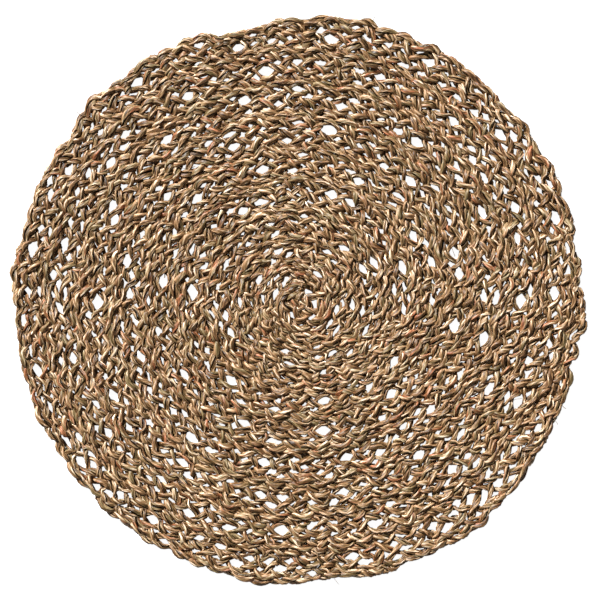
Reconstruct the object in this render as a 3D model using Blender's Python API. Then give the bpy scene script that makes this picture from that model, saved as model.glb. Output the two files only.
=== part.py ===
"""Seagrass placemat.

A round table mat, coiled from one long flat plait of seven twisted seagrass
cords and joined edge to edge. It is one piece of cloth, so it is one flat
solid: the scalloped rim is where the cords turn back at the outer edge of the
plait, and the holes are the largest gaps of the openwork. A gap lies where
the plait leaves one, between four crossings of its cords, so its place is
worked out from the run of the coil and the cords' steps along it.

Units are metres, +Z up. The mat lies on z = 0 and its origin is the middle
of its box on that plane. Angles are in degrees, counterclockwise from +X
about the start of the coil; a coil angle goes on from turn to turn.
"""

import random
from collections import namedtuple
from math import cos, pi, radians, sin

import bpy
import numpy as np

# Driving dimensions.
RIM_RADIUS = 0.1845            # mean radius of the rim
THICKNESS = 0.0072             # two cords where they cross, pressed flat
SCALLOPS = 80                  # cords turning back round the rim
SCALLOP_DEPTH = 0.0016         # from the crown of a scallop to its notch
POINTS_PER_SCALLOP = 6

# The coil. Each turn of the plait holds its radius, then steps out to the
# next one over its last degrees. The last row is where the tail would run,
# had it not tapered off into the rim.
TURN_START = 14.0              # where each turn begins
TURN_DRIFT = 0.0026            # the turns lie this far off centre...
TURN_DRIFT_ANGLE = 170.0       # ...towards this angle
FULL_DRIFT_RADIUS = 0.06       # the drift fades out inside this radius
COIL_START = 60.0
ANGLE_STEP = 0.05
Turn = namedtuple("Turn", "radius step")
TURNS = (
    Turn(radius=0.0045, step=330.0),
    Turn(radius=0.0156, step=300.0),
    Turn(radius=0.0312, step=200.0),
    Turn(radius=0.0495, step=110.0),
    Turn(radius=0.0697, step=56.0),
    Turn(radius=0.0892, step=56.0),
    Turn(radius=0.1087, step=56.0),
    Turn(radius=0.1322, step=56.0),
    Turn(radius=0.1511, step=56.0),
    Turn(radius=0.1732, step=56.0),
    Turn(radius=0.1935, step=56.0),
)
LAST_TURN = 9

# The plait.
EDGE_STEP = 0.0136             # a cord turns back at an edge every step
FULL_WIDTH = 0.0205            # a plait this wide has that step; a narrow one's is shorter
RIM_INSET = 0.0010             # the outermost cord's middle from the crowns of the rim
GAP_PLACES = {2: -0.27, 3: 0.27}   # middle rows of gaps: share of the half width, row by row

# Where the hand-coiled rim swells or falls in: a smooth rise round an angle.
Swell = namedtuple("Swell", "angle rise spread")
SWELLS = (
    Swell(angle=102.0, rise=-0.0058, spread=9.0),
    Swell(angle=76.0, rise=0.0026, spread=7.0),
    Swell(angle=58.0, rise=0.0013, spread=8.0),
    Swell(angle=134.0, rise=0.0017, spread=7.0),
    Swell(angle=162.0, rise=-0.0014, spread=6.0),
    Swell(angle=175.0, rise=0.0015, spread=7.0),
    Swell(angle=275.0, rise=-0.0028, spread=7.0),
    Swell(angle=308.0, rise=0.0019, spread=10.0),
    Swell(angle=338.0, rise=-0.0020, spread=7.0),
)

# The largest gaps of each turn, spread over a share of it.
GapRow = namedtuple("GapRow", "turn gaps first_angle span")
GAP_ROWS = (
    GapRow(turn=4, gaps=7, first_angle=8.0, span=360.0),
    GapRow(turn=5, gaps=10, first_angle=16.0, span=360.0),
    GapRow(turn=6, gaps=12, first_angle=6.0, span=360.0),
    GapRow(turn=7, gaps=14, first_angle=13.0, span=360.0),
    GapRow(turn=8, gaps=15, first_angle=10.0, span=360.0),
    GapRow(turn=9, gaps=14, first_angle=4.0, span=306.0),
)
GAP_SEED = 11
GAP_POINTS = 10
GAP_HALF_LENGTH = (0.0034, 0.0044)
GAP_HALF_WIDTH = (0.0021, 0.0026)
WIDE_GAP_HALF_LENGTH = 0.0045
WIDE_GAP_HALF_WIDTH = 0.0031
WIDE_GAP_SECTOR = 11.2         # gaps this near the +X, +Y, -X and -Y lines are the widest

SEAGRASS_COLOR = (0.279, 0.175, 0.098, 1.0)


def clear_scene():
    for thing in list(bpy.data.objects):
        bpy.data.objects.remove(thing, do_unlink=True)


def seagrass_material():
    material = bpy.data.materials.new("seagrass")
    material.use_nodes = True
    shader = material.node_tree.nodes["Principled BSDF"]
    shader.inputs["Base Color"].default_value = SEAGRASS_COLOR
    shader.inputs["Roughness"].default_value = 0.75
    shader.inputs["Metallic"].default_value = 0.0
    material.diffuse_color = SEAGRASS_COLOR
    return material


def swell(angle):
    """How far the rim stands out from its mean radius at an angle."""
    total = 0.0
    for row in SWELLS:
        away = (angle - row.angle + 180.0) % 360.0 - 180.0
        total = total + row.rise * np.exp(-(away / row.spread) ** 2)
    return total


def rim_outline():
    """The scalloped rim: rounded crowns with a notch between each two."""
    index = np.arange(SCALLOPS * POINTS_PER_SCALLOP)
    angle = 360.0 * index / len(index)
    crown = np.abs(np.cos(pi * index / POINTS_PER_SCALLOP))
    radius = RIM_RADIUS + swell(angle) + SCALLOP_DEPTH * (crown - 0.5)
    return [(r * cos(radians(a)), r * sin(radians(a))) for r, a in zip(radius, angle)]


def middle_radius(coil_angle):
    """The radius of the plait's middle line at a coil angle."""
    number = np.clip((coil_angle // 360.0).astype(int), 0, len(TURNS) - 1)
    radii = np.array([row.radius for row in TURNS] + [TURNS[-1].radius])
    steps = np.array([row.step for row in TURNS])
    within = coil_angle - 360.0 * number
    share = np.clip((within - 360.0 + steps[number]) / steps[number], 0.0, 1.0)
    rise = radii[number + 1] - radii[number]
    radius = radii[number] + rise * share ** 2 * (3.0 - 2.0 * share)
    drift = TURN_DRIFT * np.minimum(radius / FULL_DRIFT_RADIUS, 1.0)
    return radius + drift * np.cos(np.radians(coil_angle + TURN_START - TURN_DRIFT_ANGLE))


def plait_edges(coil_angle):
    """The radii the plait lies between: half way to the turns beside it, or the rim."""
    middle = middle_radius(coil_angle)
    inner = (middle + middle_radius(coil_angle - 360.0)) / 2.0
    inner = np.where(coil_angle < 360.0, 0.0004, inner)
    outer = (middle + middle_radius(coil_angle + 360.0)) / 2.0
    rim = RIM_RADIUS + swell((coil_angle + TURN_START) % 360.0) - RIM_INSET
    outer = np.where(coil_angle >= 360.0 * LAST_TURN, rim, np.minimum(outer, rim))
    return inner, np.maximum(outer, inner + 0.002)


def edge_steps(coil_angle, inner, outer):
    """How many times the cords have turned back at an edge, up to each coil angle."""
    middle = (inner + outer) / 2.0
    run = np.hypot(np.gradient(middle), middle * radians(ANGLE_STEP))
    step = EDGE_STEP * np.clip((outer - inner) / FULL_WIDTH, 0.25, 1.1) ** 0.7
    return np.concatenate([[0.0], np.cumsum((run / step)[:-1])])


def gap_outline(center, angle, half_length, half_width):
    """An oval whose length lies along the turn at that angle."""
    points = []
    for index in range(GAP_POINTS):
        turn = 2.0 * pi * index / GAP_POINTS
        outward = half_width * cos(turn)
        along = half_length * sin(turn)
        points.append((
            center[0] + outward * cos(angle) - along * sin(angle),
            center[1] + outward * sin(angle) + along * cos(angle),
        ))
    return points


def largest_gaps():
    """Center, direction and half sizes of the largest gaps, each in a mesh of the plait."""
    coil_angle = np.arange(COIL_START, 360.0 * (LAST_TURN + 1), ANGLE_STEP)
    inner, outer = plait_edges(coil_angle)
    steps = edge_steps(coil_angle, inner, outer)
    draw = random.Random(GAP_SEED)
    gaps = []
    for turn_row in GAP_ROWS:
        for index in range(turn_row.gaps):
            near = 360.0 * turn_row.turn + turn_row.first_angle
            near += turn_row.span * index / turn_row.gaps
            row = draw.choice((2, 3))
            half_length = draw.uniform(*GAP_HALF_LENGTH)
            half_width = draw.uniform(*GAP_HALF_WIDTH)
            # Even rows have their gaps half a step along, odd rows at whole steps.
            offset = 0.5 if row % 2 == 0 else 0.0
            step = round(float(np.interp(near, coil_angle, steps)) - offset) + offset
            at = float(np.interp(step, steps, coil_angle))
            low = float(np.interp(at, coil_angle, inner))
            high = float(np.interp(at, coil_angle, outer))
            radius = (low + high) / 2.0 + (high - low) / 2.0 * GAP_PLACES[row]
            angle = (at + TURN_START) % 360.0
            if abs((angle + 45.0) % 90.0 - 45.0) < WIDE_GAP_SECTOR:
                half_length, half_width = WIDE_GAP_HALF_LENGTH, WIDE_GAP_HALF_WIDTH
            center = (radius * cos(radians(angle)), radius * sin(radians(angle)))
            gaps.append((center, radians(angle), half_length, half_width))
    return gaps


def box_middle(points):
    across = [point[0] for point in points]
    up = [point[1] for point in points]
    return ((min(across) + max(across)) / 2.0, (min(up) + max(up)) / 2.0)


def add_loop(curve, points, middle):
    spline = curve.splines.new("POLY")
    spline.points.add(len(points) - 1)
    for control, point in zip(spline.points, points):
        control.co = (point[0] - middle[0], point[1] - middle[1], 0.0, 1.0)
    spline.use_cyclic_u = True


def plaited_mat(collection):
    """The whole mat: its rim filled as one flat plate, less the gaps."""
    rim = rim_outline()
    middle = box_middle(rim)
    curve = bpy.data.curves.new("plaited_mat", "CURVE")
    curve.dimensions = "2D"
    curve.fill_mode = "BOTH"
    curve.extrude = THICKNESS / 2.0
    add_loop(curve, rim, middle)
    for center, angle, half_length, half_width in largest_gaps():
        add_loop(curve, gap_outline(center, angle, half_length, half_width), middle)
    curve.materials.append(seagrass_material())
    mat = bpy.data.objects.new("plaited_mat", curve)
    mat.location = (0.0, 0.0, THICKNESS / 2.0)
    collection.objects.link(mat)
    return mat


def main():
    clear_scene()
    collection = bpy.data.collections.new("seagrass_placemat")
    bpy.context.scene.collection.children.link(collection)
    plaited_mat(collection)


main()
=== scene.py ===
"""Looks of a round seagrass placemat: a seven-cord flat plait, coiled.

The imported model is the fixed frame. Here the plait is made cord by cord:
the middle line of the coil gives the run of the plait, seven cords weave over
one and under one across it, and each cord is two plies of twisted grass.
Units are metres and +Z is up. Angles are in degrees, counterclockwise from +X
about the start of the coil.
"""

import random
from collections import namedtuple
from math import cos, pi, radians, sin

import bpy
import numpy as np
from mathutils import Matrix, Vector


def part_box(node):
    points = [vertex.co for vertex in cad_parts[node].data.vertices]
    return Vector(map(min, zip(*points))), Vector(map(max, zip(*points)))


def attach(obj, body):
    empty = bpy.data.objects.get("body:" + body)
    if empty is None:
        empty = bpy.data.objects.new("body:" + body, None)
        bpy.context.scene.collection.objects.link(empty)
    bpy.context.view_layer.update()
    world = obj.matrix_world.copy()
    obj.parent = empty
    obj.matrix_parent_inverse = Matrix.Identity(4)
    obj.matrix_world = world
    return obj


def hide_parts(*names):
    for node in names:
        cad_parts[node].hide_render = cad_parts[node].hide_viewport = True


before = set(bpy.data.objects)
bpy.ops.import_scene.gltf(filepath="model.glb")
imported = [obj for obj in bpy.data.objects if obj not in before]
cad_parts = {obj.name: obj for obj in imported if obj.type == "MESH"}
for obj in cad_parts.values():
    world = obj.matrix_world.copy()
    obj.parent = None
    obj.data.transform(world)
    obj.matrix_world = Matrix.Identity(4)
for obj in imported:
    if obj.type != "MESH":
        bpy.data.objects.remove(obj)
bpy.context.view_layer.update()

MAT_NODE = "plaited_mat"
LOW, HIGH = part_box(MAT_NODE)
THICKNESS = HIGH.z - LOW.z

# The mat's plan, as in the frame: the rim, the coil and the largest gaps.
RIM_RADIUS = 0.1845
SCALLOPS = 80
SCALLOP_DEPTH = 0.0016
POINTS_PER_SCALLOP = 6
TURN_START = 14.0
TURN_DRIFT = 0.0026
TURN_DRIFT_ANGLE = 170.0
FULL_DRIFT_RADIUS = 0.06
COIL_START = 60.0
ANGLE_STEP = 0.05

# Each turn holds its radius, then steps out to the next over its last degrees.
Turn = namedtuple("Turn", "radius step")
TURNS = (
    Turn(radius=0.0045, step=330.0),
    Turn(radius=0.0156, step=300.0),
    Turn(radius=0.0312, step=200.0),
    Turn(radius=0.0495, step=110.0),
    Turn(radius=0.0697, step=56.0),
    Turn(radius=0.0892, step=56.0),
    Turn(radius=0.1087, step=56.0),
    Turn(radius=0.1322, step=56.0),
    Turn(radius=0.1511, step=56.0),
    Turn(radius=0.1732, step=56.0),
    Turn(radius=0.1935, step=56.0),
)
LAST_TURN = 9

EDGE_STEP = 0.0136             # a cord turns back at an edge every step
FULL_WIDTH = 0.0205            # a plait this wide has that step; a narrow one's is shorter
RIM_INSET = 0.0010             # the outermost cord's middle from the crowns of the rim
GAP_PLACES = {2: -0.27, 3: 0.27}   # middle rows of gaps: share of the half width, row by row

Swell = namedtuple("Swell", "angle rise spread")
SWELLS = (
    Swell(angle=102.0, rise=-0.0058, spread=9.0),
    Swell(angle=76.0, rise=0.0026, spread=7.0),
    Swell(angle=58.0, rise=0.0013, spread=8.0),
    Swell(angle=134.0, rise=0.0017, spread=7.0),
    Swell(angle=162.0, rise=-0.0014, spread=6.0),
    Swell(angle=175.0, rise=0.0015, spread=7.0),
    Swell(angle=275.0, rise=-0.0028, spread=7.0),
    Swell(angle=308.0, rise=0.0019, spread=10.0),
    Swell(angle=338.0, rise=-0.0020, spread=7.0),
)

# The largest gaps of each turn, spread over a share of it.
GapRow = namedtuple("GapRow", "turn gaps first_angle span")
GAP_ROWS = (
    GapRow(turn=4, gaps=7, first_angle=8.0, span=360.0),
    GapRow(turn=5, gaps=10, first_angle=16.0, span=360.0),
    GapRow(turn=6, gaps=12, first_angle=6.0, span=360.0),
    GapRow(turn=7, gaps=14, first_angle=13.0, span=360.0),
    GapRow(turn=8, gaps=15, first_angle=10.0, span=360.0),
    GapRow(turn=9, gaps=14, first_angle=4.0, span=306.0),
)
GAP_SEED = 11
GAP_HALF_LENGTH = (0.0034, 0.0044)
GAP_HALF_WIDTH = (0.0021, 0.0026)
WIDE_GAP_HALF_LENGTH = 0.0045
WIDE_GAP_HALF_WIDTH = 0.0031
WIDE_GAP_SECTOR = 11.2         # gaps this near the +X, +Y, -X and -Y lines are the widest

# Smaller gaps, which only the looks have: the share of the meshes that are open.
OUTER_GAP_PLACE = 0.60         # the outer rows of gaps, as a share of the half width
OPEN_SHARE = {1: 0.24, 2: 0.20, 3: 0.10, 4: 0.07, 5: 0.08, 6: 0.12, 7: 0.08, 8: 0.16, 9: 0.21}
SMALL_GAP_HALF_LENGTH = (0.0026, 0.0048)
SMALL_GAP_HALF_WIDTH = (0.0009, 0.0018)
SMALL_GAP_STRAY = 0.08         # its place across, off the row's own by this share
SMALL_GAP_TURN = (-0.15, 0.45)     # radians that it leans off the plait's run
SMALL_GAP_APART = 0.0085       # it keeps this far from the middle of a largest gap
LOOSE_WAVES = (5, 1.5, 9.0)    # how many waves, and their lengths, in steps of the plait
LOOSE_CHANCE = 0.9             # how much of where a row is loose is chance
GAP_NEAR = 0.02                # a gap changes nothing beyond this distance
GAP_REACH = 2.2                # how far the cords beside a gap give way, in gap sizes
GAP_POINTED = 1.5              # 2: a round gap; 1: one with pointed ends
SMALL_GAP_POINTED = 1.35
CROWD_REACH = 0.9              # the cords are loose and broad again this far from a gap
CROWDED_GIRTH = 0.42           # and broader there by this share

# The plait.
CORDS = 7                      # an odd number, as the weave needs
EDGE_INSET = 0.0006            # an edge cord's middle keeps this far inside the turn
CORD_RADIUS = 0.0016
NARROWEST_HALF = 0.0006        # the least half width that a plait's cords swing over
CORNER = 0.75                  # nearer 1: straighter runs and tighter turns
CORD_RISE = 0.0020             # a cord's rise and fall over and under the others
CORD_SINK = 0.0002             # the cords' middle height, below half the thickness
EDGE_TILT = 0.0009             # outer edges lie on the next turn's inner ones
CORD_ENDS = (3560.0, 3578.0, 3566.0, 3596.0, 3572.0, 3590.0, 3584.0)   # coil angles
TUCK_LENGTH = 0.016            # an end thins and dips over this length
TUCK_DIP = 0.0022
TUCK_GIRTH = 0.45              # an end's girth, as a share of the cord's
STEP = 0.0018                  # length of one made stretch of a cord
FIRST_TONE = 0.11              # each cord has its own tone, which sets its marks apart
TONE_STEP = 0.13
ZONES = 6                      # the coil is made in this many pieces

PLY_DEEP = 0.00100             # half a ply's size, out from the cord's middle...
PLY_BROAD = 0.00122            # ...and across that: two plies press each other broad
PLY_OFFSET = 0.00096           # a ply's middle from the cord's
TWIST = 0.0240                 # length of one whole twist of the two plies
PLY_TWIST = 0.020              # each ply is twisted the other way, once in this length
TWIST_WAVER = 6.5              # radians that the twist runs ahead and behind
TWIST_WAVER_RATE = 45.0        # waverings in a metre of cord
PLY_SWING = (0.84, 1.16)       # a ply's size along its length, as a share
PLY_SWING_RATE = 110.0
PLY_SIDES = 9
RIDGE = 1.08                   # a ply's ridges and grooves, as shares of its radius
GROOVE = 0.66

PRESSED = 0.80                 # the cords lie flattened to this share of their round height
UNDER_FLAT = 0.00015           # the underside is worn flat at this height
TOP_FLAT = THICKNESS + 0.0001
FLAT_SOFTNESS = 0.0009

# Waves, each given as how many there are and the shortest and longest of them.
PLAN_SHIFT = 0.0011            # neighbouring cords wander together by this much
PLAN_WAVES = (16, 0.014, 0.055)
CORD_WANDER = 0.00045          # and each by itself by this much
WANDER_WAVES = (7, 0.012, 0.05)
PHASE_WAVER = 0.010            # a cord runs ahead and behind by this share of its swing
PHASE_WAVES = (4, 0.03, 0.12)
HEIGHT_WAVER = 0.0002
HEIGHT_WAVES = (6, 0.01, 0.04)
GIRTH_WAVER = 0.11
GIRTH_WAVES = (6, 0.02, 0.08)
CALM = 0.25                    # share of the wandering left beside the largest gaps

FIBRES = 64
FIBRES_AT_RIM = 0.45           # this share of them, and the rest over the openwork
FIBRE_GIRTH = (0.09, 0.17)
FIBRE_LENGTH = (0.007, 0.018)
FIBRE_POINTS = 12
FIBRE_RIM_INSET = 0.0055       # a rim fibre starts this far inside the rim

GROOVE_PAINTED_SHADE = 0.55            # painted shade: a groove is darker than its ridges by this share
SHADE_GREEN = 1.10             # powers of the shade, above 1: shadows are browner...
SHADE_BLUE = 1.45              # ...and lights are paler

MAT_SEED = 23


# ---------------------------------------------------------------- the plan

def swell(angle):
    """How far the rim stands out from its mean radius at an angle."""
    total = 0.0
    for row in SWELLS:
        away = (angle - row.angle + 180.0) % 360.0 - 180.0
        total = total + row.rise * np.exp(-(away / row.spread) ** 2)
    return total


def rim_middle():
    """The middle of the rim's box, which the frame's origin is under."""
    index = np.arange(SCALLOPS * POINTS_PER_SCALLOP)
    angle = 360.0 * index / len(index)
    crown = np.abs(np.cos(pi * index / POINTS_PER_SCALLOP))
    radius = RIM_RADIUS + swell(angle) + SCALLOP_DEPTH * (crown - 0.5)
    across = radius * np.cos(np.radians(angle))
    up = radius * np.sin(np.radians(angle))
    return (across.min() + across.max()) / 2.0, (up.min() + up.max()) / 2.0


def middle_radius(coil_angle):
    """The radius of the plait's middle line at a coil angle."""
    number = np.clip((coil_angle // 360.0).astype(int), 0, len(TURNS) - 1)
    radii = np.array([row.radius for row in TURNS] + [TURNS[-1].radius])
    steps = np.array([row.step for row in TURNS])
    within = coil_angle - 360.0 * number
    share = np.clip((within - 360.0 + steps[number]) / steps[number], 0.0, 1.0)
    rise = radii[number + 1] - radii[number]
    radius = radii[number] + rise * share ** 2 * (3.0 - 2.0 * share)
    drift = TURN_DRIFT * np.minimum(radius / FULL_DRIFT_RADIUS, 1.0)
    return radius + drift * np.cos(np.radians(coil_angle + TURN_START - TURN_DRIFT_ANGLE))


def plait_edges(coil_angle):
    """The radii the plait lies between: half way to the turns beside it, or the rim."""
    middle = middle_radius(coil_angle)
    inner = (middle + middle_radius(coil_angle - 360.0)) / 2.0
    inner = np.where(coil_angle < 360.0, 0.0004, inner)
    outer = (middle + middle_radius(coil_angle + 360.0)) / 2.0
    rim = RIM_RADIUS + swell((coil_angle + TURN_START) % 360.0) - RIM_INSET
    outer = np.where(coil_angle >= 360.0 * LAST_TURN, rim, np.minimum(outer, rim))
    return inner, np.maximum(outer, inner + 0.002)


def edge_steps(coil_angle, inner, outer):
    """How many times the cords have turned back at an edge, up to each coil angle."""
    middle = (inner + outer) / 2.0
    run = np.hypot(np.gradient(middle), middle * radians(ANGLE_STEP))
    step = EDGE_STEP * np.clip((outer - inner) / FULL_WIDTH, 0.25, 1.1) ** 0.7
    return np.concatenate([[0.0], np.cumsum((run / step)[:-1])])


class Plait:
    """The run of the plait on a fine scale: its edges, length and turn-backs."""

    def __init__(self):
        self.angle = np.arange(COIL_START, 360.0 * (LAST_TURN + 1), ANGLE_STEP)
        self.inner, self.outer = plait_edges(self.angle)
        self.steps = edge_steps(self.angle, self.inner, self.outer)
        middle = (self.inner + self.outer) / 2.0
        run = np.hypot(np.gradient(middle), middle * radians(ANGLE_STEP))
        self.length = np.concatenate([[0.0], np.cumsum(run[:-1])])

    def mesh_place(self, step, place):
        """Where a mesh of the plait is: the coil angle there, and the plan place."""
        at = float(np.interp(step, self.steps, self.angle))
        low = float(np.interp(at, self.angle, self.inner))
        high = float(np.interp(at, self.angle, self.outer))
        radius = (low + high) / 2.0 + (high - low) / 2.0 * place
        angle = radians((at + TURN_START) % 360.0)
        return radius * cos(angle), radius * sin(angle), angle


def largest_gaps(plait, middle):
    """Place, direction and half sizes of the largest gaps, drawn as the frame draws them."""
    draw = random.Random(GAP_SEED)
    gaps = []
    for turn_row in GAP_ROWS:
        for index in range(turn_row.gaps):
            near = 360.0 * turn_row.turn + turn_row.first_angle
            near += turn_row.span * index / turn_row.gaps
            row = draw.choice((2, 3))
            half_length = draw.uniform(*GAP_HALF_LENGTH)
            half_width = draw.uniform(*GAP_HALF_WIDTH)
            # Even rows have their gaps half a step along, odd rows at whole steps.
            offset = 0.5 if row % 2 == 0 else 0.0
            step = round(float(np.interp(near, plait.angle, plait.steps)) - offset) + offset
            x, y, angle = plait.mesh_place(step, GAP_PLACES[row])
            if abs((np.degrees(angle) + 45.0) % 90.0 - 45.0) < WIDE_GAP_SECTOR:
                half_length, half_width = WIDE_GAP_HALF_LENGTH, WIDE_GAP_HALF_WIDTH
            gaps.append((x - middle[0], y - middle[1], angle, half_length, half_width))
    return gaps


def small_gaps(plait, middle, largest, draw):
    """The other open meshes, which lie in loose places of the plait."""
    taken = np.array([(x, y) for x, y, _, _, _ in largest])
    places = {1: -OUTER_GAP_PLACE, 4: OUTER_GAP_PLACE} | GAP_PLACES
    looseness = {row: waves(draw, *LOOSE_WAVES) for row in places}
    gaps = []
    for turn, share in OPEN_SHARE.items():
        ends = (360.0 * turn, min(360.0 * (turn + 1), CORD_ENDS[0]))
        first, last = np.interp(ends, plait.angle, plait.steps)
        found = []
        for row, place in places.items():
            offset = 0.5 if row % 2 == 0 else 0.0
            for step in np.arange(np.ceil(first), last) + offset:
                stray = draw.uniform(-SMALL_GAP_STRAY, SMALL_GAP_STRAY)
                x, y, angle = plait.mesh_place(step, place + stray)
                x, y = x - middle[0], y - middle[1]
                loose = float(waver(looseness[row], step)) + draw.gauss(0.0, LOOSE_CHANCE)
                if np.hypot(*(taken - (x, y)).T).min() > SMALL_GAP_APART:
                    found.append((loose, x, y, angle))
        found.sort(reverse=True)
        for loose, x, y, angle in found[:int(share * len(found))]:
            angle = angle + draw.uniform(*SMALL_GAP_TURN)
            half_length = draw.uniform(*SMALL_GAP_HALF_LENGTH)
            half_width = draw.uniform(*SMALL_GAP_HALF_WIDTH)
            gaps.append((x, y, angle, half_length, half_width))
    return gaps


# ---------------------------------------------------------------- the cords

def waves(draw, count, low, high):
    """A wavering line: a sum of waves whose lengths lie between low and high."""
    made = []
    for _ in range(count):
        length = low * (high / low) ** draw.random()
        made.append((2.0 * pi / length, 2.0 * pi * draw.random()))
    return made


def waver(rows, at):
    """The wavering line's value, about 1 at most times."""
    total = sum(np.sin(rate * at + start) for rate, start in rows)
    return total / np.sqrt(len(rows) / 2.0)


def plan_shift(draw, count, low, high):
    """Waves over the plan, by which neighbouring cords are shifted alike."""
    made = []
    for _ in range(count):
        length = low * (high / low) ** draw.random()
        heading = 2.0 * pi * draw.random()
        push = 2.0 * pi * draw.random()
        made.append((2.0 * pi / length, heading, 2.0 * pi * draw.random(), push))
    return made


def shifted(across, up, rows, size):
    """The plan places after the waves over the plan have moved them."""
    dx = np.zeros_like(across)
    dy = np.zeros_like(up)
    for rate, heading, start, push in rows:
        wave = np.sin(rate * (across * cos(heading) + up * sin(heading)) + start)
        dx += wave * cos(push)
        dy += wave * sin(push)
    scale = size / np.sqrt(len(rows) / 2.0)
    return across + scale * dx, up + scale * dy


def calmed(across, up, gaps):
    """Less wandering beside the largest gaps, so that they stay where they are."""
    calm = np.ones_like(across)
    for x, y, _, half_length, _ in gaps:
        near = np.hypot(across - x, up - y) / (half_length + CORD_RADIUS) / GAP_REACH
        calm = np.minimum(calm, np.maximum(near, CALM))
    return calm


def gap_reach(across, up, gap, pointed):
    """Where points lie about a gap: outward, along, and how far, in gap sizes."""
    x, y, angle, half_length, half_width = gap
    dx, dy = across - x, up - y
    outward = (dx * cos(angle) + dy * sin(angle)) / (half_width + CORD_RADIUS)
    along = (dy * cos(angle) - dx * sin(angle)) / (half_length + CORD_RADIUS)
    far = (np.abs(outward) ** pointed + np.abs(along) ** pointed) ** (1.0 / pointed)
    return outward, along, far


def crowding(across, up, gaps, pointed):
    """0 at the edge of a gap and 1 where the plait is closed."""
    crowd = np.ones_like(across)
    for gap in gaps:
        near = np.hypot(across - gap[0], up - gap[1]) < GAP_NEAR
        if near.any():
            far = gap_reach(across[near], up[near], gap, pointed)[2]
            crowd[near] = np.minimum(crowd[near], np.clip((far - 1.0) / CROWD_REACH, 0.0, 1.0))
    return crowd


def give_way(across, up, gaps, pointed):
    """Pushes what runs through a gap out to its edge."""
    for gap in gaps:
        x, y, angle, half_length, half_width = gap
        outward, along, far = gap_reach(across, up, gap, pointed)
        near = far < GAP_REACH
        if not near.any():
            continue
        far_near = np.maximum(far[near], 1e-6)
        grow = (1.0 + far_near ** 4 / GAP_REACH ** 4 * (GAP_REACH ** 4 - 1.0)) ** 0.25 / far_near
        outward = outward[near] * grow * (half_width + CORD_RADIUS)
        along = along[near] * grow * (half_length + CORD_RADIUS)
        across[near] = x + outward * cos(angle) - along * sin(angle)
        up[near] = y + outward * sin(angle) + along * cos(angle)
    return across, up


def weave_height(phase):
    """Over one, under one: +1 on top, -1 beneath, and 0 as a cord turns back."""
    within = phase % 0.5
    crossing = 0.5 / CORDS
    run = np.cos(2.0 * pi * CORDS * (within - crossing))
    turn_in = np.sin(pi * CORDS * within)
    turn_out = -np.sin(pi * CORDS * (0.5 - within))
    return np.where(within < crossing, turn_in, np.where(within > 0.5 - crossing, turn_out, run))


def cross_place(phase):
    """Where a cord is across the plait: -1 at the inner edge, +1 at the outer."""
    return -np.arcsin(CORNER * np.cos(2.0 * pi * phase)) / np.arcsin(CORNER)


def cord_line(plait, number, draw, middle, plan_rows, largest, small):
    """One cord's middle line, from the coil's start to where it tucks in."""
    phase = (plait.steps + 0.5 - number) / CORDS
    phase = phase + PHASE_WAVER * waver(waves(draw, *PHASE_WAVES), plait.length)
    place = cross_place(phase)
    half = (plait.outer - plait.inner) / 2.0 - EDGE_INSET
    radius = (plait.inner + plait.outer) / 2.0 + np.maximum(half, NARROWEST_HALF) * place
    angle = np.radians(plait.angle + TURN_START)
    across = radius * np.cos(angle) - middle[0]
    up = radius * np.sin(angle) - middle[1]
    calm = calmed(across, up, largest)
    wander = CORD_WANDER * waver(waves(draw, *WANDER_WAVES), plait.length)
    moved_across, moved_up = shifted(across, up, plan_rows, PLAN_SHIFT)
    across = across + calm * (moved_across - across + wander * np.cos(angle))
    up = up + calm * (moved_up - up + wander * np.sin(angle))
    across, up = give_way(across, up, small, SMALL_GAP_POINTED)
    across, up = give_way(across, up, largest, GAP_POINTED)
    crowd = np.minimum(
        crowding(across, up, small, SMALL_GAP_POINTED),
        crowding(across, up, largest, GAP_POINTED),
    )
    height = (THICKNESS / 2.0 - CORD_SINK) / PRESSED + CORD_RISE * weave_height(phase)
    height = height + EDGE_TILT * place ** 3
    height = height + HEIGHT_WAVER * waver(waves(draw, *HEIGHT_WAVES), plait.length)
    kept = plait.angle < CORD_ENDS[number]
    return np.stack([across, up, height], axis=1)[kept], plait.length[kept], crowd[kept]


def evened(points, step):
    """The same line with a point every step, their lengths along, and their shares of it."""
    stretch = np.linalg.norm(np.diff(points, axis=0), axis=1)
    along = np.concatenate([[0.0], np.cumsum(stretch)])
    at = np.arange(0.0, along[-1], step)
    even = np.stack([np.interp(at, along, points[:, axis]) for axis in range(3)], axis=1)
    return even, at, np.interp(at, along, np.linspace(0.0, 1.0, len(along)))


def finished_cord(plait, number, draw, middle, plan_rows, largest, small):
    """A cord's line with its girth, which swells where it is loose and thins where it tucks in."""
    fine, run, crowd = cord_line(plait, number, draw, middle, plan_rows, largest, small)
    points, along, share = evened(fine, STEP)
    girth = 1.0 + GIRTH_WAVER * waver(waves(draw, *GIRTH_WAVES), along)
    tuck = np.clip((along[-1] - along) / TUCK_LENGTH, 0.0, 1.0)
    girth = girth * (TUCK_GIRTH + (1.0 - TUCK_GIRTH) * tuck ** 0.6)
    points[:, 2] -= TUCK_DIP * (1.0 - tuck) ** 1.5
    fine_share = np.linspace(0.0, 1.0, len(run))
    girth = girth * (1.0 + CROWDED_GIRTH * np.interp(share, fine_share, crowd))
    return {
        "points": points,
        "along": along,
        "girth": girth,
        "run": np.interp(share, fine_share, run),
        "tone": FIRST_TONE + TONE_STEP * number,
    }


def cut_to(cord, start, end):
    """The stretch of a cord between two lengths of the plait, or nothing if it isn't there."""
    chosen = np.nonzero((cord["run"] >= start) & (cord["run"] <= end + STEP))[0]
    if len(chosen) < 3:
        return []
    cut = slice(chosen[0], min(chosen[-1] + 2, len(cord["run"])))
    stretch = {key: cord[key][cut] for key in ("points", "along", "girth")}
    return [stretch | {"tone": cord["tone"]}]


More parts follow.
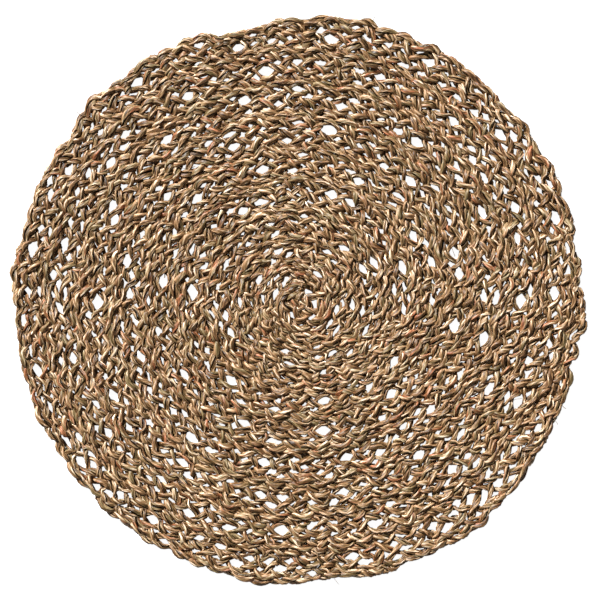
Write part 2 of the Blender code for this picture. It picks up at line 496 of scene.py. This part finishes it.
def loose_fibre(draw, middle):
    """A fine end of grass that has worked loose, at the rim or over the openwork."""
    length = draw.uniform(*FIBRE_LENGTH)
    angle = 2.0 * pi * draw.random()
    at_rim = draw.random() < FIBRES_AT_RIM
    reach = RIM_RADIUS + float(swell(np.degrees(angle))) - FIBRE_RIM_INSET
    radius = reach if at_rim else reach * draw.uniform(0.35, 0.97)
    heading = angle + draw.choice((-1.0, 1.0)) * draw.uniform(1.15, 1.6)
    x = radius * cos(angle) - middle[0]
    y = radius * sin(angle) - middle[1]
    bend = draw.uniform(-1.4, 1.4)
    if at_rim:
        bend = -abs(bend) if cos(heading - angle - pi / 2.0) > 0.0 else abs(bend)
    low, high = draw.uniform(0.004, 0.006), draw.uniform(0.0045, 0.0068)
    points = []
    for index in range(FIBRE_POINTS):
        share = index / (FIBRE_POINTS - 1)
        points.append((x, y, (low + (high - low) * sin(pi * share)) / PRESSED))
        x += cos(heading) * length / FIBRE_POINTS
        y += sin(heading) * length / FIBRE_POINTS
        heading += bend / FIBRE_POINTS + draw.uniform(-0.15, 0.15)
    along = np.linspace(0.0, length, FIBRE_POINTS)
    girth = draw.uniform(*FIBRE_GIRTH) * (1.0 - 0.55 * along / length)
    return {
        "points": np.array(points),
        "along": along + draw.uniform(0.0, 5.0),
        "girth": girth,
        "tone": draw.uniform(0.0, 1.0),
    }


def cord_lines_object(name, cords):
    """A mesh of plain lines, which the twisting nodes read."""
    points, edges, along, girth, tone = [], [], [], [], []
    for line in cords:
        first = len(points)
        points.extend(line["points"].tolist())
        edges.extend((first + i, first + i + 1) for i in range(len(line["points"]) - 1))
        along.extend(line["along"].tolist())
        girth.extend(line["girth"].tolist())
        tone.extend([line["tone"]] * len(line["points"]))
    mesh = bpy.data.meshes.new(name)
    mesh.from_pydata(points, edges, [])
    for label, values in (("along", along), ("girth", girth), ("cord_tone", tone)):
        attribute = mesh.attributes.new(label, "FLOAT", "POINT")
        attribute.data.foreach_set("value", values)
    made = bpy.data.objects.new(name, mesh)
    bpy.context.scene.collection.objects.link(made)
    return made


# ---------------------------------------------------------------- node helpers

def add_node(tree, kind, **settings):
    node = tree.nodes.new(kind)
    for key, value in settings.items():
        setattr(node, key, value)
    return node


def feed(tree, node, **inputs):
    """Sets or links a node's inputs by their place or name."""
    for key, value in inputs.items():
        by_place = key[0] == "i" and key[1:].isdigit()
        socket = node.inputs[int(key[1:]) if by_place else key]
        if isinstance(value, bpy.types.NodeSocket):
            tree.links.new(value, socket)
        else:
            socket.default_value = value
    return node


def math_node(tree, operation, *values):
    node = add_node(tree, "ShaderNodeMath", operation=operation)
    for index, value in enumerate(values):
        feed(tree, node, **{"i%d" % index: value})
    return node.outputs[0]


def vector_node(tree, operation, *values):
    node = add_node(tree, "ShaderNodeVectorMath", operation=operation)
    for index, value in enumerate(values):
        feed(tree, node, **{"i%d" % index: value})
    return node.outputs["Value"] if operation == "LENGTH" else node.outputs["Vector"]


def scaled(tree, vector, size):
    node = add_node(tree, "ShaderNodeVectorMath", operation="SCALE")
    feed(tree, node, i0=vector, Scale=size)
    return node.outputs["Vector"]


# ---------------------------------------------------------------- twisted cord

def read_value(tree, name, kind="FLOAT"):
    node = add_node(tree, "GeometryNodeInputNamedAttribute", data_type=kind)
    feed(tree, node, Name=name)
    return node.outputs[0]


def kept_value(tree, geometry, name, value, kind="FLOAT"):
    node = add_node(tree, "GeometryNodeStoreNamedAttribute", data_type=kind, domain="POINT")
    feed(tree, node, Geometry=geometry, Name=name, Value=value)
    return node.outputs["Geometry"]


def wavering(tree, along, rate, seed, seed_rate):
    """A noise along a line, different for each seed value."""
    place = add_node(tree, "ShaderNodeCombineXYZ")
    row = math_node(tree, "MULTIPLY", seed, seed_rate)
    feed(tree, place, X=math_node(tree, "MULTIPLY", along, rate), Y=row)
    node = add_node(tree, "ShaderNodeTexNoise", noise_dimensions="2D")
    feed(tree, node, Vector=place.outputs[0], Scale=1.0, Detail=1.0)
    return node.outputs["Fac"]


def spread(tree, value, low, high):
    """A noise value brought to lie between low and high."""
    node = add_node(tree, "ShaderNodeMapRange")
    feed(tree, node, Value=value)
    node.inputs["From Min"].default_value = 0.3
    node.inputs["From Max"].default_value = 0.7
    node.inputs["To Min"].default_value = low
    node.inputs["To Max"].default_value = high
    return node.outputs[0]


def twist_tree():
    """Each line becomes a cord of two plies, twisted round one another."""
    tree = bpy.data.node_groups.new("twist_cords", "GeometryNodeTree")
    face = tree.interface
    face.new_socket("Geometry", in_out="INPUT", socket_type="NodeSocketGeometry")
    for name, value in (
        ("Ply Deep", PLY_DEEP), ("Ply Broad", PLY_BROAD), ("Ply Offset", PLY_OFFSET), ("Twist", TWIST),
    ):
        socket = face.new_socket(name, in_out="INPUT", socket_type="NodeSocketFloat")
        socket.default_value = value
    sides = face.new_socket("Sides", in_out="INPUT", socket_type="NodeSocketInt")
    sides.default_value = PLY_SIDES
    face.new_socket("Material", in_out="INPUT", socket_type="NodeSocketMaterial")
    face.new_socket("Geometry", in_out="OUTPUT", socket_type="NodeSocketGeometry")
    given = add_node(tree, "NodeGroupInput")

    curve = add_node(tree, "GeometryNodeMeshToCurve")
    feed(tree, curve, Mesh=given.outputs["Geometry"])
    level = add_node(tree, "GeometryNodeSetCurveNormal", mode="Z_UP")
    feed(tree, level, Curve=curve.outputs["Curve"])
    pair = add_node(tree, "GeometryNodeDuplicateElements", domain="SPLINE")
    feed(tree, pair, Geometry=level.outputs["Curve"], Amount=2)
    along = read_value(tree, "along")
    girth = read_value(tree, "girth")
    tone = read_value(tree, "cord_tone")
    spot = add_node(tree, "GeometryNodeInputPosition").outputs[0]

    # The two plies turn round the cord's middle, not quite evenly.
    turn = math_node(tree, "MULTIPLY", math_node(tree, "DIVIDE", along, given.outputs["Twist"]), 2.0 * pi)
    uneven = wavering(tree, along, TWIST_WAVER_RATE, tone, 97.0)
    turn = math_node(tree, "ADD", turn, math_node(tree, "MULTIPLY", uneven, TWIST_WAVER))
    turn = math_node(tree, "ADD", turn, math_node(tree, "MULTIPLY", pair.outputs["Duplicate Index"], pi))
    normal = add_node(tree, "GeometryNodeInputNormal").outputs[0]
    tangent = add_node(tree, "GeometryNodeInputTangent").outputs[0]
    other = vector_node(tree, "CROSS_PRODUCT", tangent, normal)
    aside = vector_node(
        tree, "ADD",
        scaled(tree, normal, math_node(tree, "COSINE", turn)),
        scaled(tree, other, math_node(tree, "SINE", turn)),
    )
    centred = kept_value(tree, pair.outputs["Geometry"], "cord_middle", spot, "FLOAT_VECTOR")
    moved = add_node(tree, "GeometryNodeSetPosition")
    offset = math_node(tree, "MULTIPLY", given.outputs["Ply Offset"], girth)
    feed(tree, moved, Geometry=centred, Offset=scaled(tree, aside, offset))
    half = math_node(tree, "MULTIPLY", pair.outputs["Duplicate Index"], 0.5)
    ply_tone = math_node(tree, "ADD", tone, half)
    tagged = kept_value(tree, moved.outputs["Geometry"], "ply_tone", ply_tone)

    ply = read_value(tree, "ply_tone")
    swing = spread(tree, wavering(tree, along, PLY_SWING_RATE, ply, 53.0), *PLY_SWING)
    radius = math_node(tree, "MULTIPLY", girth, swing)
    sized = add_node(tree, "GeometryNodeSetCurveRadius")
    feed(tree, sized, Curve=tagged, Radius=radius)
    tilted = add_node(tree, "GeometryNodeSetCurveTilt")
    feed(tree, tilted, Curve=sized.outputs["Curve"], Tilt=turn)

    # A ply's section: ridges of folded blade with grooves between them.
    ring = add_node(tree, "GeometryNodeCurvePrimitiveCircle")
    feed(tree, ring, Resolution=given.outputs["Sides"], Radius=1.0)
    index = add_node(tree, "GeometryNodeInputIndex").outputs[0]
    in_groove = math_node(tree, "GREATER_THAN", math_node(tree, "MODULO", index, 3.0), 1.5)
    kept = kept_value(tree, ring.outputs["Curve"], "around", spot, "FLOAT_VECTOR")
    # The groove mark is kept only for the painted shade in the grooves.
    kept = kept_value(tree, kept, "painted_groove_shade", in_groove)
    ridge = math_node(tree, "ADD", math_node(tree, "MULTIPLY", in_groove, GROOVE - RIDGE), RIDGE)
    section = add_node(tree, "ShaderNodeCombineXYZ")
    feed(tree, section, X=given.outputs["Ply Deep"], Y=given.outputs["Ply Broad"], Z=1.0)
    pressed_ring = add_node(tree, "ShaderNodeVectorMath", operation="MULTIPLY")
    feed(tree, pressed_ring, i0=scaled(tree, spot, ridge), i1=section.outputs[0])
    ridged = add_node(tree, "GeometryNodeSetPosition")
    feed(tree, ridged, Geometry=kept, Position=pressed_ring.outputs["Vector"])

    body = add_node(tree, "GeometryNodeCurveToMesh")
    feed(tree, body, Curve=tilted.outputs["Curve"])
    tree.links.new(ridged.outputs["Geometry"], body.inputs["Profile Curve"])
    body.inputs["Fill Caps"].default_value = True
    if "Scale" in body.inputs:
        tree.links.new(add_node(tree, "GeometryNodeInputRadius").outputs[0], body.inputs["Scale"])
    whole = add_node(tree, "GeometryNodeRealizeInstances")
    feed(tree, whole, Geometry=body.outputs["Mesh"])

    # How far out on its cord a point lies: little in the crease between the plies, where the material
    # paints shade.
    away = vector_node(tree, "SUBTRACT", spot, read_value(tree, "cord_middle", "FLOAT_VECTOR"))
    full = math_node(tree, "MULTIPLY", girth, PLY_DEEP + PLY_OFFSET)
    outward = math_node(tree, "DIVIDE", vector_node(tree, "LENGTH", away), full)
    marked = kept_value(tree, whole.outputs["Geometry"], "outward", outward)

    # Pressed and worn flat, above and beneath.
    apart = add_node(tree, "ShaderNodeSeparateXYZ")
    feed(tree, apart, Vector=spot)
    height = math_node(tree, "MULTIPLY", apart.outputs["Z"], PRESSED)
    height = math_node(tree, "SMOOTH_MAX", height, UNDER_FLAT, FLAT_SOFTNESS)
    height = math_node(tree, "SMOOTH_MIN", height, TOP_FLAT, FLAT_SOFTNESS)
    joined = add_node(tree, "ShaderNodeCombineXYZ")
    feed(tree, joined, X=apart.outputs["X"], Y=apart.outputs["Y"], Z=height)
    pressed = add_node(tree, "GeometryNodeSetPosition")
    feed(tree, pressed, Geometry=marked, Position=joined.outputs[0])
    finished = add_node(tree, "GeometryNodeSetMaterial")
    feed(tree, finished, Geometry=pressed.outputs["Geometry"], Material=given.outputs["Material"])
    out = add_node(tree, "NodeGroupOutput")
    feed(tree, out, Geometry=finished.outputs["Geometry"])
    return tree


def run_nodes(lines, tree, material):
    """Runs the tree on the lines and leaves a plain mesh."""
    modifier = lines.modifiers.new("twist", "NODES")
    modifier.node_group = tree
    for item in tree.interface.items_tree:
        if item.in_out == "INPUT" and item.name == "Material":
            modifier[item.identifier] = material
    bpy.context.view_layer.update()
    graph = bpy.context.evaluated_depsgraph_get()
    mesh = bpy.data.meshes.new_from_object(lines.evaluated_get(graph), depsgraph=graph)
    name = lines.name
    bpy.data.objects.remove(lines)
    made = bpy.data.objects.new(name, mesh)
    mesh.name = name
    bpy.context.scene.collection.objects.link(made)
    mesh.shade_smooth()
    return made


# ---------------------------------------------------------------- materials

def named_value(tree, name, output):
    node = add_node(tree, "ShaderNodeAttribute", attribute_name=name, attribute_type="GEOMETRY")
    return node.outputs[output]


def ramp(tree, value, stops):
    node = add_node(tree, "ShaderNodeValToRGB")
    tree.links.new(value, node.inputs["Fac"])
    points = node.color_ramp.elements
    while len(points) < len(stops):
        points.new(0.5)
    for point, (at, color) in zip(points, stops):
        point.position = at
        point.color = (*color, 1.0)
    return node.outputs["Color"]


def eased(tree, value, start, end, low, high):
    """Goes smoothly from low to high as the value goes from start to end."""
    node = add_node(tree, "ShaderNodeMapRange", interpolation_type="SMOOTHSTEP")
    feed(tree, node, Value=value)
    node.inputs["From Min"].default_value = start
    node.inputs["From Max"].default_value = end
    node.inputs["To Min"].default_value = low
    node.inputs["To Max"].default_value = high
    return node.outputs[0]


def mixed(tree, share, first, second, blend="MIX"):
    node = add_node(tree, "ShaderNodeMix", data_type="RGBA", blend_type=blend)
    for socket, value in zip((node.inputs[0], node.inputs[6], node.inputs[7]), (share, first, second)):
        if isinstance(value, bpy.types.NodeSocket):
            tree.links.new(value, socket)
        else:
            socket.default_value = value
    return node.outputs[2]


def grass_vector(tree, around, along, ply=371.0):
    """A place on a ply: round it, and along it, so that marks run lengthwise."""
    turned = add_node(tree, "ShaderNodeVectorRotate", rotation_type="Z_AXIS")
    untwist = math_node(tree, "MULTIPLY", named_value(tree, "along", "Fac"), 2.0 * pi / PLY_TWIST)
    feed(tree, turned, Vector=named_value(tree, "around", "Vector"), Angle=untwist)
    ring = scaled(tree, turned.outputs[0], around)
    run = add_node(tree, "ShaderNodeCombineXYZ")
    tone = math_node(tree, "MULTIPLY", named_value(tree, "ply_tone", "Fac"), ply)
    length = math_node(tree, "MULTIPLY", named_value(tree, "along", "Fac"), along)
    feed(tree, run, Z=math_node(tree, "ADD", length, tone))
    return vector_node(tree, "ADD", ring, run.outputs[0])


def noise(tree, vector, detail=2.0, roughness=0.5):
    node = add_node(tree, "ShaderNodeTexNoise", noise_dimensions="3D")
    feed(tree, node, Vector=vector, Scale=1.0, Detail=detail, Roughness=roughness)
    return node.outputs["Fac"]


def seagrass_material():
    material = bpy.data.materials.new("seagrass")
    material.use_nodes = True
    tree = material.node_tree
    shader = tree.nodes["Principled BSDF"]
    blades = noise(tree, grass_vector(tree, 1.5, 100.0), 1.5)
    fibres = noise(tree, grass_vector(tree, 2.3, 140.0, 911.0), 2.0, 0.6)
    color = ramp(tree, blades, (
        (0.32, (0.115, 0.050, 0.017)),
        (0.43, (0.240, 0.120, 0.050)),
        (0.50, (0.400, 0.222, 0.100)),
        (0.57, (0.620, 0.388, 0.205)),
        (0.65, (0.935, 0.735, 0.515)),
    ))
    russet = eased(tree, noise(tree, grass_vector(tree, 0.6, 62.0, 1733.0), 1.0), 0.62, 0.71, 0.0, 0.75)
    color = mixed(tree, russet, color, (0.46, 0.150, 0.060, 1.0))
    olive = eased(tree, noise(tree, grass_vector(tree, 0.6, 38.0, 677.0), 1.0), 0.56, 0.68, 0.0, 0.60)
    color = mixed(tree, olive, color, (0.230, 0.190, 0.080, 1.0))
    shade = eased(tree, fibres, 0.32, 0.64, 0.34, 1.55)
    # Painted shade: the grooves between a ply's ridges are darkened.
    painted_groove_shade = math_node(tree, "MULTIPLY", named_value(tree, "painted_groove_shade", "Fac"), GROOVE_PAINTED_SHADE)
    painted_groove_shade = math_node(tree, "SUBTRACT", 1.0, painted_groove_shade)
    # Painted shade: darker in the crease between the two plies.
    crease_painted_shade = eased(tree, named_value(tree, "outward", "Fac"), 0.38, 0.92, 0.04, 1.0)
    # Random fibre streaks, times the painted shade of the grooves and the creases.
    streaks_and_painted_shade = math_node(tree, "MULTIPLY", math_node(tree, "MULTIPLY", shade, painted_groove_shade), crease_painted_shade)
    tint = add_node(tree, "ShaderNodeCombineColor")
    green = math_node(tree, "POWER", streaks_and_painted_shade, SHADE_GREEN)
    feed(tree, tint, Red=streaks_and_painted_shade, Green=green, Blue=math_node(tree, "POWER", streaks_and_painted_shade, SHADE_BLUE))
    color = mixed(tree, 1.0, color, tint.outputs[0], "MULTIPLY")
    tree.links.new(color, shader.inputs["Base Color"])
    shader.inputs["Roughness"].default_value = 0.42
    bump = add_node(tree, "ShaderNodeBump")
    bump.inputs["Strength"].default_value = 0.9
    bump.inputs["Distance"].default_value = 0.0004
    tree.links.new(fibres, bump.inputs["Height"])
    tree.links.new(bump.outputs["Normal"], shader.inputs["Normal"])
    return material


# ---------------------------------------------------------------- the mat

def make_mat():
    """The pieces of the coil, from the middle out."""
    draw = random.Random(MAT_SEED)
    middle = rim_middle()
    plait = Plait()
    largest = largest_gaps(plait, middle)
    small = small_gaps(plait, middle, largest, draw)
    plan_rows = plan_shift(draw, *PLAN_WAVES)
    tree = twist_tree()
    material = seagrass_material()
    cords = [
        finished_cord(plait, number, draw, middle, plan_rows, largest, small)
        for number in range(CORDS)
    ]
    fibres = [loose_fibre(draw, middle) for _ in range(FIBRES)]
    total = float(np.interp(max(CORD_ENDS), plait.angle, plait.length))
    limits = np.linspace(0.0, total, ZONES + 1)
    pieces = []
    for zone in range(ZONES):
        parts = []
        for cord in cords:
            parts += cut_to(cord, limits[zone], limits[zone + 1])
        parts += fibres[zone::ZONES]
        lines = cord_lines_object("coil_%d" % (zone + 1), parts)
        piece = run_nodes(lines, tree, material)
        piece["plait_length"] = limits[zone + 1] - limits[zone]
        laid_out = sum(4.0 * PLY_BROAD * STEP * float(np.sum(part["girth"])) for part in parts)
        piece["plies_side_by_side"] = laid_out / piece["plait_length"]
        pieces.append(piece)
    return pieces


# ---------------------------------------------------------------- the stage

def bright_to_camera(tree, seen, lighting):
    """A white that the camera sees at one strength, and that lights at another."""
    path = add_node(tree, "ShaderNodeLightPath")
    strength = math_node(tree, "MULTIPLY", path.outputs["Is Camera Ray"], seen - lighting)
    return math_node(tree, "ADD", strength, lighting)


def make_stage():
    bpy.ops.mesh.primitive_plane_add(size=6.0, location=(0.0, 0.0, LOW.z - 0.0002))
    floor = bpy.context.object
    floor.name = "floor"
    material = bpy.data.materials.new("pale_floor")
    material.use_nodes = True
    shader = material.node_tree.nodes["Principled BSDF"]
    shader.inputs["Base Color"].default_value = (0.4, 0.4, 0.4, 1.0)
    shader.inputs["Roughness"].default_value = 0.9
    shader.inputs["Emission Color"].default_value = (1.0, 1.0, 1.0, 1.0)
    strength = bright_to_camera(material.node_tree, 0.95, 0.0)
    material.node_tree.links.new(strength, shader.inputs["Emission Strength"])
    floor.data.materials.append(material)


def make_sun(name, strength, softness, azimuth, elevation):
    """A far soft light that comes from an azimuth and an elevation."""
    data = bpy.data.lights.new(name, "SUN")
    data.energy = strength
    data.angle = radians(softness)
    light = bpy.data.objects.new(name, data)
    around = radians(azimuth)
    up = radians(elevation)
    from_where = Vector((cos(up) * cos(around), cos(up) * sin(around), sin(up)))
    light.rotation_euler = from_where.to_track_quat("Z", "Y").to_euler()
    bpy.context.scene.collection.objects.link(light)


def make_studio():
    scene = bpy.context.scene
    scene.view_settings.view_transform = "Standard"
    world = bpy.data.worlds.new("studio")
    world.use_nodes = True
    background = world.node_tree.nodes["Background"]
    background.inputs["Color"].default_value = (1.0, 1.0, 1.0, 1.0)
    strength = bright_to_camera(world.node_tree, 1.0, 0.17)
    world.node_tree.links.new(strength, background.inputs["Strength"])
    scene.world = world
    make_sun("key_light", 6.1, 4.0, 125.0, 41.0)


def make_camera():
    data = bpy.data.cameras.new("camera")
    data.lens = 100.0
    data.sensor_width = 36.0
    camera = bpy.data.objects.new("camera", data)
    width_in_view = 0.3906
    camera.location = (0.0006, 0.0, width_in_view * data.lens / data.sensor_width)
    camera.rotation_euler = (0.0, 0.0, 0.0)
    bpy.context.scene.collection.objects.link(camera)
    bpy.context.scene.camera = camera


make_camera()
make_studio()
make_stage()
mat_pieces = make_mat()
for piece in mat_pieces:
    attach(piece, "root")
    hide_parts(MAT_NODE)
